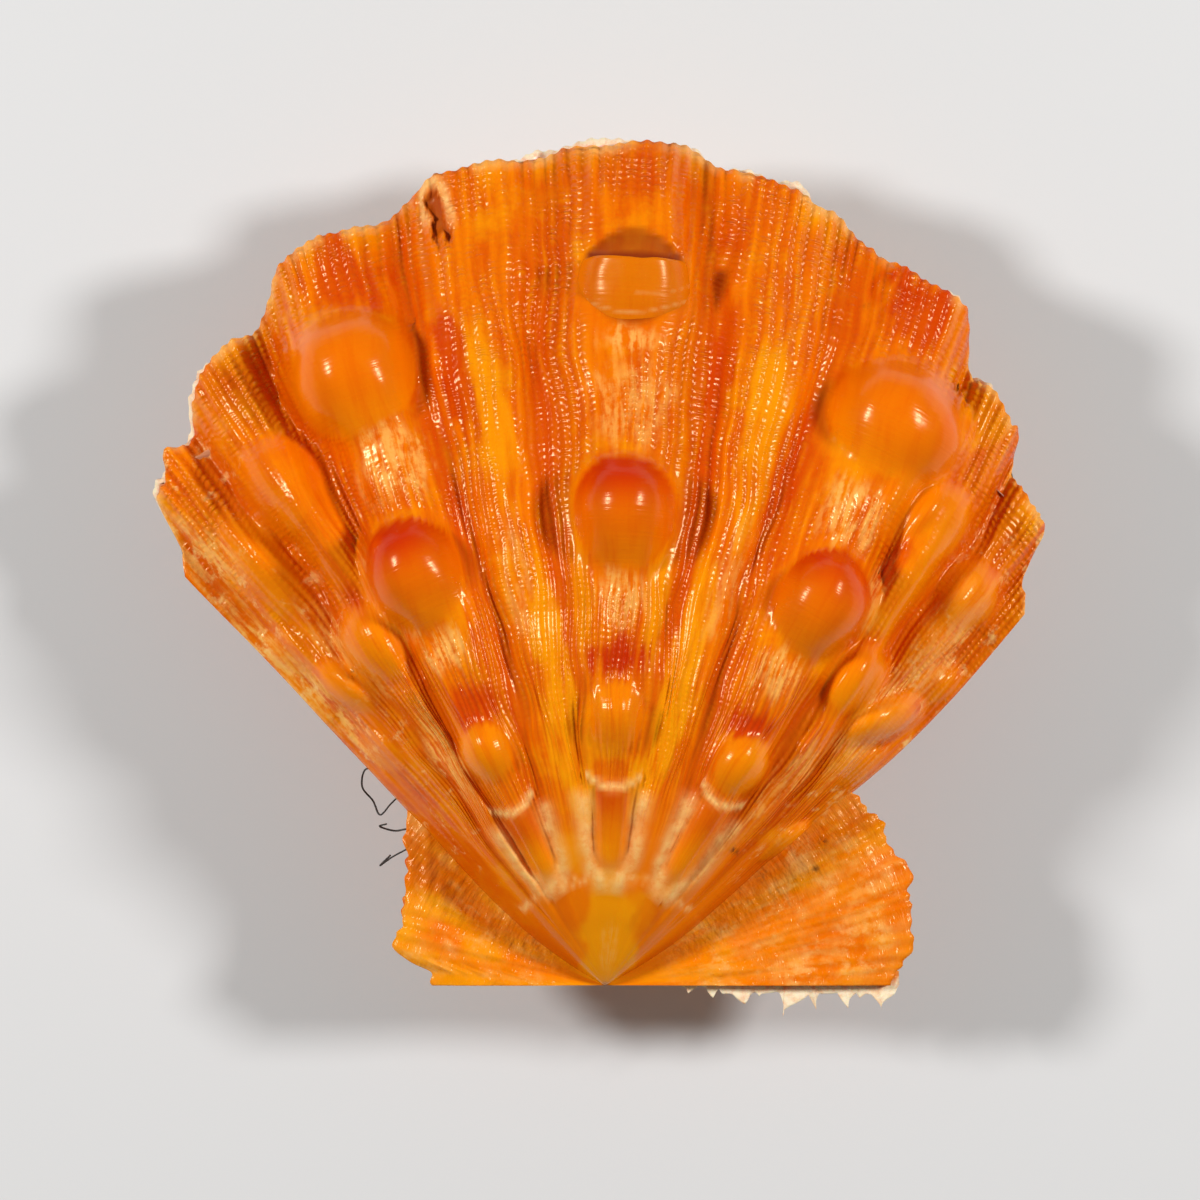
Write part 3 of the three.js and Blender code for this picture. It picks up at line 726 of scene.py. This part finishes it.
def hoodRoof():
    mesh = meshFrom(closedGrid(44, 30, [1.0, 0.8, 0.4], meetsAtBeak=False, centre=(0.0, 0.0)), "roof")
    c, t, ring = gridPlaces(mesh)
    size = brokenKnob
    x0, y0, turn, centre = ribPlace(size["rib"], size["reach"])
    along = mix(-size["roofLength"], size["edgeReach"] - size["reach"], t)
    pastWidest = along - size["widest"]
    fromWidest = pastWidest / np.where(pastWidest > 0, 4.0, size["roofLength"] + size["widest"])
    narrowing = np.maximum(0.002, 1 - np.abs(fromWidest) ** 3.4) ** (1 / 3.4)
    halfWidth = size["width"] / 2 * np.where(pastWidest > 0, 1 - 0.1 * fromWidest ** 2, narrowing)
    side = 2 * c - 1
    free = ease(0.9, 1, t)
    along = along + free * (0.16 * wander(c * 7, 0, 91) - 0.35 * side ** 4)
    across = side * halfWidth
    lengthwise = np.sqrt(np.maximum(0, 1 - ((along + 1.6) / (size["roofLength"] - 1.4)) ** 2))
    vault = np.maximum(0, 1 - np.abs(side) ** 2.6) ** 0.8
    top = centre - 0.9 + (size["height"] + 0.9) * vault * lengthwise + along * 0.02
    top += 0.1 * np.cos(side * 9.5 + 0.6) * bell(along + 1.4, 2.0) * vault
    top += 0.06 * wander(along * 1.1, c * 2, 94)
    dx, dy = turned(across, along, -turn)
    placeMesh(mesh, x0 + dx, y0 + dy, np.where(ring == 0, top, top - size["roofThickness"]))
    smile = along - 1.3 * side ** 2
    lines = bell(smile + 5.6 + 0.3 * wander(c * 5, 0, 92), 0.13)
    lines += bell(smile + 7.3 + 0.3 * wander(c * 5, 0, 93), 0.2)
    lines += 0.6 * bell(smile + 3.9 + 0.5 * wander(c * 5, 0, 95), 0.1) * (c > 0.5)
    # the roof's outer skin takes the furrow and pit tones at a low share as its own darker colour; its
    # underside takes the pit tone as painted shade under the roof
    storeMasks(mesh, {"riblet": c * 8, "reach": along + size["reach"], "knob": 0.9, "yellow": 0.35,
                      "worn": 0.5 * np.clip(lines, 0, 1), "furrowShadeAndDarkTone": 0.6,
                      "pit": np.where(ring > 0, 0.6, 0.19)},
               ring == 0, everywhere=("riblet", "reach", "pit"))
    return smoothed(mesh)


# Pale flakes of the lower valve's lip that stand past the upper one: angle, width, how far.
lipFlakes = [(1, 1.6, 0.8), (-4.8, 1.2, 0.7), (6.2, 1, 0.7), (13.4, 1.3, 0.7),
             (32.3, 2, 0.9), (-37.6, 1.8, 0.8), (-41.9, 1.6, 0.9)]


def lowerFan():
    mesh, c, t, ring, rib, angle, reach, phase, riblets = fanGrid("lowerValve", (416, 112), 23)
    edge = ease(0.93, 1, t)
    tooth = 0.3 * ridgeWave(phase) + 0.5 * wander(c * 44, 0, 28) - 0.3
    reach = reach + edge * tooth * flankFade(rib) + trimmedRim(angle, t)
    for at, width, far in lipFlakes:
        reach = reach + edge * far * bell(angle - at, width)
    x, y = planPoint(angle, reach)
    young = ease(16, 28, reach + 2 * wander(c * 30, 0, 25))
    z = lowerSurface(rib, t) - riblets * young * (0.55 + 0.45 * flankFade(rib))
    z -= growthLines(c, reach, 29) * 1.4 * ease(6, 20, reach)
    z = np.maximum(z, 0.0)
    placeMesh(mesh, x, y, linedHeight(z, ring, rib, t, valves["lowerDome"], -1))
    offset = np.abs(rib - np.round(rib))
    lip = ease(0.965, 1.0, t) * ease(0.2, 1.0, flankFade(rib))
    for at, width, _ in lipFlakes:
        lip = np.maximum(lip, bell(angle - at, width * 1.2) * ease(0.95, 0.98, t))
    storeMasks(mesh, {
        "riblet": phase, "reach": reach, "ribletMask": young, "worn": np.clip(lip, 0, 1),
        "red": 0.6 * ease(0.1, 0.6, wander(c * 7, t * 5, 26)),
        "yellow": 0.6 * ease(0.0, 0.6, wander(c * 9, t * 6, 27)),
        "pale": np.clip(0.35 + 0.5 * wander(c * 12, t * 8, 24), 0, 1),
        # painted shade: the furrows between the lower valve's ribs are darkened
        "furrowShadeAndDarkTone": ease(0.2, 0.4, offset) * flankFade(rib) * ease(0.1, 0.3, t),
    }, ring == 0, everywhere=("riblet", "reach", "worn"))
    markInside(mesh, ring)
    mesh.flip_normals()
    return mesh


# A frill of pale flakes on the hinge edge of the lower larger ear: distance from the beak, how far
# it stands out, its half width, and which way its tip leans.
frill = {
    "flakes": [(9.6, 1, 0.8, 0.4), (11.9, 1.5, 0.9, 0.5), (15.4, 2.2, 1.6, 0.2), (17.8, 1.3, 0.8, -0.3),
               (20.5, 3.6, 1.9, 0.7), (23.4, 2.9, 1.1, 0.5), (27, 2.7, 1.6, 0.6), (29.2, 1.5, 1, 0.2),
               (31.2, 2.9, 2.1, 0.3)],
    "start": 8.0, "end": 33.4, "root": 1.6, "drop": 0.3, "thickness": 0.5,
    "grid": (260, 14),
}


def hingeFrill():
    mesh = meshFrom(bladeGrid(*frill["grid"]), "frill")
    c, t, ring = gridPlaces(mesh)
    distance = mix(frill["start"], frill["end"], c)
    far = mix(0.3, 0.95, ease(10, 15, distance)) + 0.25 * wander(distance * 1.4, 0, 19)
    for place, length, halfWidth, lean in frill["flakes"]:
        offset = (distance - place) / halfWidth
        skewed = offset / (1 + lean * np.tanh(offset * 1.5))
        far = np.maximum(far, length * np.maximum(0, 1 - np.abs(skewed)) ** 0.85)
    ends = ease(0, 0.03, c) * ease(1, 0.985, c)
    out = mix(frill["root"], -far * ends, t)
    x = valves["beak"][0] + distance + 0.25 * far * t * np.sin(distance * 1.7)
    y = valves["beak"][1] + out
    wave = 0.22 * wander(distance * 0.9, t * 2, 20) * t + 0.06 * far * t ** 2
    z = valves["meetingHeight"] - frill["drop"] + wave
    thick = frill["thickness"] * (1 - 0.75 * t) * ends
    placeMesh(mesh, x, y, z + np.where(ring == 0, 0.5, -0.5) * thick)
    pale = ease(0.25, 0.6, t)
    storeMasks(mesh, {"riblet": distance * 1.6, "reach": out * 2, "worn": pale,
                      "ribletMask": 0.1, "ear": 0.3})
    mesh.flip_normals()
    return smoothed(mesh)


def joined(meshes, name):
    bm = bmesh.new()
    for mesh in meshes:
        bm.from_mesh(mesh)
        bpy.data.meshes.remove(mesh)
    bmesh.ops.triangulate(bm, faces=[f for f in bm.faces if len(f.verts) > 4])
    return placed(name, meshFrom(bm, name))


# A socket to reckon with: each sum or product is one Math node in the socket's own tree.
class Value:
    def __init__(self, socket):
        self.socket = socket
        self.tree = socket.id_data

    def calc(self, operation, other=0.0):
        return newNode(self.tree, "Math", 0, {0: self, 1: other}, operation=operation)

    def __add__(self, other):
        return self.calc("ADD", other)

    def __sub__(self, other):
        return self.calc("SUBTRACT", other)

    def __rsub__(self, other):
        return newNode(self.tree, "Math", 0, {0: other, 1: self}, operation="SUBTRACT")

    def __mul__(self, other):
        return self.calc("MULTIPLY", other)

    def __truediv__(self, other):
        return self.calc("DIVIDE", other)

    __radd__, __rmul__ = __add__, __mul__


# Values are linked and plain numbers are set.
def feed(inputs, values):
    for place, value in values.items():
        if isinstance(value, Value):
            value.tree.links.new(value.socket, inputs[place])
        else:
            inputs[place].default_value = value


def newNode(tree, kind, output, values, **settings):
    node = tree.nodes.new("ShaderNode" + kind)
    for name, setting in settings.items():
        setattr(node, name, setting)
    feed(node.inputs, values)
    return Value(node.outputs[output])


def ramped(value, low, high, start=0.0, end=1.0):
    values = dict(enumerate((value, low, high, start, end)))
    return newNode(value.tree, "MapRange", 0, values, interpolation_type="SMOOTHSTEP")


def noise(vector, scale, detail=3.0, roughness=0.55):
    values = {"Vector": vector, "Scale": scale, "Detail": detail, "Roughness": roughness}
    return newNode(vector.tree, "TexNoise", 0, values)


def blend(share, a, b):
    return newNode(share.tree, "Mix", 2, {0: share, 6: a, 7: b}, data_type="RGBA")


def combined(x, y, z=0.0):
    return newNode(x.tree, "CombineXYZ", 0, {0: x, 1: y, 2: z})


def bumped(height, strength, distance):
    values = {"Height": height, "Strength": strength, "Distance": distance}
    return newNode(height.tree, "Bump", "Normal", values)


def objectPlace(tree):
    return newNode(tree, "TexCoord", "Object", {})


def masked(tree, name):
    return newNode(tree, "Attribute", "Fac", {}, attribute_name=name)


def colour(red, green, blue):
    def linear(v):
        v /= 255
        return v / 12.92 if v <= 0.04045 else ((v + 0.055) / 1.055) ** 2.4
    return (linear(red), linear(green), linear(blue), 1.0)


# A new material with its node tree and the inputs of its shader.
def newMaterial(name):
    material = bpy.data.materials.new(name)
    material.use_nodes = True
    return material, material.node_tree, material.node_tree.nodes["Principled BSDF"].inputs


def newGroup(name, inputs, outputs):
    group = bpy.data.node_groups.new(name, "ShaderNodeTree")
    for names, way in ((inputs, "INPUT"), (outputs, "OUTPUT")):
        for socketName in names:
            kind = "Vector" if socketName == "Object" else "Float"
            group.interface.new_socket(socketName, in_out=way, socket_type="NodeSocket" + kind)
    source = group.nodes.new("NodeGroupInput").outputs
    return group, [Value(source[name]) for name in inputs], group.nodes.new("NodeGroupOutput").inputs


def placeGroup(tree, group, values):
    node = tree.nodes.new("ShaderNodeGroup")
    node.node_tree = group
    feed(node.inputs, values)
    return {socket.name: Value(socket) for socket in node.outputs}


# Rounded riblets with beads along them, and soft ripples that cross the furrows.
def scaleGroup():
    group, (riblet, reach, pitch), out = newGroup(
        "ribletScales", ["Riblet", "Reach", "Pitch"], ["Height", "Ridge", "Streak"])
    fullTurn = 6.2832
    own = riblet.calc("FLOOR")
    across = riblet.calc("FRACT") - 0.5
    ridge = ramped(across.calc("ABSOLUTE"), 0.5, 0.0)
    chance = newNode(group, "TexWhiteNoise", "Value", {"W": own}, noise_dimensions="1D")
    shifts = noise(combined(own * 3.7, reach * 0.4), 1.0, 2.0)
    place = reach / (pitch * (0.75 + chance * 0.6)) + chance * 7.0 + shifts * 2.2
    bead = (place * fullTurn).calc("SINE") * 0.5 + 0.5
    beaded = ramped(reach, 28.0, 82.0, 0.3, 1.0) * ramped(shifts, 0.3, 0.65, 0.45, 1.0)
    rise = 1.0 - beaded * (1.0 - bead)
    ripplePlace = reach * 1.25 + (across * across * 1.2 + shifts * 1.6)
    ripple = (ripplePlace * fullTurn).calc("SINE") * 0.5 + 0.5
    feed(out, {
        "Height": rise * ridge + ripple * ramped(reach, 40.0, 85.0, 0.1, 0.55),
        "Ridge": ridge,
        "Streak": noise(combined(riblet * 1.3, reach * 0.22), 1.0, 3.0),
    })
    return group


# Cloudy drift between two colours in streaks that run out from the beak.
def driftGroup():
    group, (riblet, reach, place), out = newGroup(
        "streakyDrift", ["Riblet", "Reach", "Object"], ["Drift", "Cloud", "Fleck", "Band"])
    feed(out, {
        "Drift": noise(combined(riblet * 0.7, reach * 0.09, 2.0), 1.0, 4.0, 0.6),
        "Cloud": noise(place, 130.0, 4.0, 0.6),
        "Fleck": noise(place, 1100.0, 4.0, 0.65),
        "Band": noise(place, 330.0, 5.0, 0.62),
    })
    return group


scaleTree = scaleGroup()
driftTree = driftGroup()

# The furrow tone is painted shade for the furrows, grooves and creases, and also a plain darker colour on the
# hood's roof and one spot of the large ear.
shellFinish = {
    # The pit tone is painted shade in the hollow under the broken knob's roof, and a plain darker tone on the
    # roof's outer skin and the chipped spot.
    "upper": {
        "base": (238, 120, 0), "deep": (220, 88, 0), "gold": (248, 158, 4),
        "red": (200, 44, 0), "pale": (250, 186, 92), "furrowShadeAndDarkTone": (198, 62, 0),
        "pit": (128, 38, 4), "knob": (236, 110, 0), "worn": (250, 198, 118),
        "grit": (52, 30, 18),
    },
    "lower": {
        "base": (232, 130, 50), "deep": (212, 92, 26), "gold": (244, 176, 80),
        "red": (206, 70, 26), "pale": (244, 214, 182), "furrowShadeAndDarkTone": (214, 110, 50),
        "pit": (130, 50, 20), "knob": (230, 130, 50), "worn": (248, 236, 204),
        "grit": (70, 50, 36),
    },
}


def shellMaterial(name, finish):
    tones = {part: colour(*tone) for part, tone in finish.items()}
    material, tree, shader = newMaterial(name)
    wanted = ("riblet", "reach", "ribletMask", "pale", "ear")
    riblet, reach, mask, pale, ear = (masked(tree, each) for each in wanted)
    knob, worn, pit = (masked(tree, each) for each in ("knob", "worn", "pit"))
    scales = placeGroup(tree, scaleTree, {"Riblet": riblet, "Reach": reach, "Pitch": 0.75})
    drift = placeGroup(tree, driftTree, {"Riblet": riblet, "Reach": reach, "Object": objectPlace(tree)})
    fleck, cloud = drift["Fleck"], drift["Cloud"]

    # from the ground tone up to the grit that lies on top
    grown = ramped(reach, 10.0, 26.0)
    streaky = ramped(drift["Drift"], 0.62, 0.34) * grown * (1.0 - ear * 0.65)
    tone = blend(streaky * 0.85, tones["base"], tones["deep"])
    tone = blend(ramped(cloud, 0.5, 0.72, 0.0, 0.6), tone, tones["gold"])
    # painted shade: darker red in the furrows between the ribs of both valves, the ears' grooves and the
    # crease beside the ears; on the roof and the large ear's spot the same tone is a plain darker colour
    tone = blend(masked(tree, "furrowShadeAndDarkTone") * 0.6, tone, tones["furrowShadeAndDarkTone"])
    # painted shade: the grooves between the riblets are darkened toward the furrow tone
    tone = blend((1.0 - scales["Ridge"]) * mask * 0.35, tone, tones["furrowShadeAndDarkTone"])
    tone = blend(knob * 0.8, tone, tones["knob"])
    # painted highlight: the tops of the riblets and their beads are lightened toward gold
    paintedRidgeHighlight = scales["Height"] * mask * ramped(scales["Streak"], 0.42, 0.7, 0.0, 0.35)
    tone = blend(paintedRidgeHighlight, tone, tones["gold"])
    yellowDrift = blend(grown, (0.75, 0.75, 0.75, 1), ramped(drift["Drift"], 0.25, 0.55, 0.25, 0.8))
    tone = blend(masked(tree, "yellow") * yellowDrift, tone, tones["gold"])
    tone = blend(masked(tree, "red") * ramped(cloud, 0.3, 0.6, 0.7, 1.0), tone, tones["red"])
    tone = blend(pale * ramped(scales["Streak"] + fleck * 0.5, 0.62, 0.88) * 0.9, tone, tones["pale"])
    band = drift["Band"] + fleck * 0.4
    banded = masked(tree, "flank") * ramped(band, 0.76, 0.94, 0.0, 0.75)
    flecked = ear * (pale * ramped(band * 0.9 + cloud * 0.15, 0.66, 0.86, 0.0, 0.9))
    tone = blend(banded.calc("MAXIMUM", flecked), tone, tones["worn"])
    tone = blend(worn * ramped(fleck, 0.3, 0.6, 0.5, 0.9), tone, tones["worn"])
    # painted shade: the pit tone darkens the hollow under the broken knob's roof
    tone = blend(pit, tone, tones["pit"])
    tone = blend(masked(tree, "speck") * ramped(fleck, 0.35, 0.55), tone, tones["grit"])

    scratches = noise(combined(riblet * 0.15, reach * 2.6), 1.0, 3.0)
    growth = noise(combined(riblet * 0.45, reach * 0.95), 1.0, 4.0)
    height = scales["Height"] * mask + fleck * ramped(mask, 0.0, 1.0, 0.1, 0.35)
    height = height + scratches * (knob * 0.4) + growth * (ear * 2.6)
    feed(shader, {
        "Base Color": tone,
        "Roughness": 0.13 + mask * 0.02 + fleck * 0.12 + worn * 0.2 + pit * 0.35,
        "Subsurface Weight": 0.12,
        "Subsurface Radius": (0.0016, 0.0006, 0.0002),
        "Subsurface Scale": 1.0,
        "Specular IOR Level": 0.27,
        "Specular Tint": (1.0, 0.84, 0.5, 1.0),
        "Normal": bumped(height, 0.9, 0.00014),
    })
    return material


def innerMaterial():
    material, tree, shader = newMaterial("nacreLining")
    cloud = noise(objectPlace(tree), 90.0, 4.0, 0.6)
    fine = noise(objectPlace(tree), 700.0, 3.0, 0.6)
    tone = blend(ramped(cloud, 0.35, 0.7), colour(238, 214, 200), colour(244, 228, 214))
    tone = blend(ramped(masked(tree, "reach"), 60.0, 76.0, 0.0, 0.8), tone, colour(224, 132, 62))
    feed(shader, {"Base Color": tone, "Roughness": 0.22 + fine * 0.16,
                  "Normal": bumped(cloud, 0.3, 0.0002)})
    return material


lining = innerMaterial()
upper = joined([upperFan(), ear("small", 1), ear("large", 1), hoodRoof()], "upperShell")
upper.data.materials.append(shellMaterial("orangeShell", shellFinish["upper"]))
upper.data.materials.append(lining)
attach(upper, "root")
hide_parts("upper_valve")
print("upper shell:", len(upper.data.polygons), "faces")

lower = joined([lowerFan(), ear("small", -1), ear("notched", -1), hingeFrill()], "lowerShell")
lower.data.materials.append(shellMaterial("paleOrangeShell", shellFinish["lower"]))
lower.data.materials.append(lining)
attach(lower, "root")
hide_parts("lower_valve")
print("lower shell:", len(lower.data.polygons), "faces")


# Dark threads caught between the valves beside the smaller ear: points, then radius.
threads = {
    "paths": [
        [(-25.2, -22.6, 16.6), (-27, -22.4, 16.4), (-27.4, -24.4, 15.8), (-26.2, -26, 15.2),
         (-25.4, -27.6, 15.4), (-24.2, -26.4, 15.9), (-23.4, -25.6, 16.4)],
        [(-24.6, -28.6, 16.6), (-25.4, -28.9, 16), (-23.8, -29.4, 15.6), (-22.4, -29.2, 16.2)],
        [(-22.2, -31.4, 16.6), (-24, -32.4, 15.6), (-25.4, -33.4, 14.6), (-24.2, -32.2, 14.9)],
    ],
    "radius": 0.11, "sides": 6, "steps": 40,
}


def threadPiece():
    bm = bmesh.new()
    for path in threads["paths"]:
        path = np.array(path)
        places = np.linspace(0, len(path) - 1, threads["steps"])
        points = np.column_stack([smoothCurve(path[:, k], places) for k in range(3)])
        loop = bmesh.ops.create_circle(bm, cap_ends=True, segments=threads["sides"],
                                       radius=threads["radius"])["verts"]
        edges = [e for e in bm.edges if all(v in loop for v in e.verts)]
        heading = Vector(points[1] - points[0]).normalized()
        turn = heading.to_track_quat("Z", "Y").to_matrix()
        bmesh.ops.rotate(bm, verts=loop, matrix=turn)
        bmesh.ops.translate(bm, verts=loop, vec=points[0])
        for before, after in zip(points[:-1], points[1:]):
            made = bmesh.ops.extrude_edge_only(bm, edges=edges)["geom"]
            verts, edges = only(made, bmesh.types.BMVert), only(made, bmesh.types.BMEdge)
            edges = [e for e in edges if all(v in verts for v in e.verts)]
            bmesh.ops.translate(bm, verts=verts, vec=after - before)
            ahead = Vector(after - before).normalized()
            bend = heading.rotation_difference(ahead).to_matrix()
            bmesh.ops.rotate(bm, verts=verts, cent=after, matrix=bend)
            heading = ahead
        bmesh.ops.contextual_create(bm, geom=edges)
    bmesh.ops.recalc_face_normals(bm, faces=bm.faces)
    bmesh.ops.scale(bm, verts=bm.verts, vec=(mm,) * 3)
    return placed("hairThreads", smoothed(meshFrom(bm, "hairThreads")))


def threadMaterial():
    material, tree, shader = newMaterial("darkThread")
    patchy = noise(objectPlace(tree), 1200.0, 3.0)
    tone = blend(patchy, colour(16, 12, 12), colour(60, 42, 30))
    feed(shader, {"Base Color": tone, "Roughness": 0.35 + patchy * 0.3})
    return material


hair = threadPiece()
hair.data.materials.append(threadMaterial())
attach(hair, "root")
print("threads:", len(hair.data.polygons), "faces")


studio = {
    "floorTone": colour(214, 214, 214),
    "floorSize": 1.5,
    "sideLights": {"size": 0.14, "power": 4.35, "distance": 0.75, "fromVertical": 50,
                   "towardTop": 0.14, "aimHeight": 0.02},
    "world": 0.17,
    "worldTone": (1.0, 0.96, 0.9, 1.0),
    "cameraHeight": 0.8,
    "sensor": 36.0,
    "pictureWidth": 1200 * 0.11364 * mm,
    "centre": (-0.35, -3.15),
}


def makeFloor():
    floor = placed("floor", meshFrom(flatGrid(1, 1, studio["floorSize"]), "floor"))
    material, _, shader = newMaterial("floorPaper")
    feed(shader, {"Base Color": studio["floorTone"], "Roughness": 0.9})
    floor.data.materials.append(material)


def makeLights():
    side = studio["sideLights"]
    tilt = math.radians(side["fromVertical"])
    for name, way in (("leftLight", -1), ("rightLight", 1)):
        data = bpy.data.lights.new(name, "AREA")
        data.shape, data.size, data.energy = "DISK", side["size"], side["power"]
        place = Vector((way * side["distance"] * math.sin(tilt), side["towardTop"],
                        side["distance"] * math.cos(tilt)))
        light = placed(name, data)
        light.location = place
        toShell = Vector((0, 0, side["aimHeight"])) - place
        light.rotation_euler = toShell.to_track_quat("-Z", "Y").to_euler()


def makeWorld():
    bpy.context.scene.view_settings.view_transform = "Standard"
    world = bpy.data.worlds.new("studio")
    world.use_nodes = True
    feed(world.node_tree.nodes["Background"].inputs, {0: studio["worldTone"], 1: studio["world"]})
    bpy.context.scene.world = world


def makeCamera():
    data = bpy.data.cameras.new("camera")
    data.sensor_width = studio["sensor"]
    data.lens = studio["sensor"] * studio["cameraHeight"] / studio["pictureWidth"]
    camera = placed("camera", data)
    camera.location = (studio["centre"][0] * mm, studio["centre"][1] * mm,
                       studio["cameraHeight"] + valves["meetingHeight"] * mm)
    bpy.context.scene.camera = camera


makeFloor()
makeLights()
makeWorld()
makeCamera()
